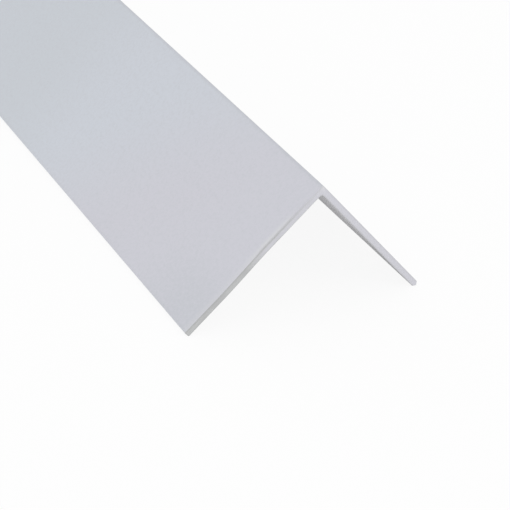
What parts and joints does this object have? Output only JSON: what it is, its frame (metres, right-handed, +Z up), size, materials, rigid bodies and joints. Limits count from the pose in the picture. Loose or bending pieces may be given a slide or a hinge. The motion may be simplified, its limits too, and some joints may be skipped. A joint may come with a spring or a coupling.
{
  "type": "corner guard moulding",
  "caption": "Plain L-section plastic corner guard moulding with equal legs, square lips with eased edges, and sawn ends, fixed over the outside corner of a wall to protect its edge.",
  "frame": {"origin": "on the floor under the middle of the length, midway between the lips", "axes": "+Z up through the outer corner, +Y along the length, +X across from one lip to the other"},
  "size_m": [0.0716, 1.219, 0.0369],
  "materials": {
    "rigid_plastic": "matte"
  },
  "bodies": {
    "root": {"corner_guard": "rigid_plastic"}
  },
  "joints": []
}
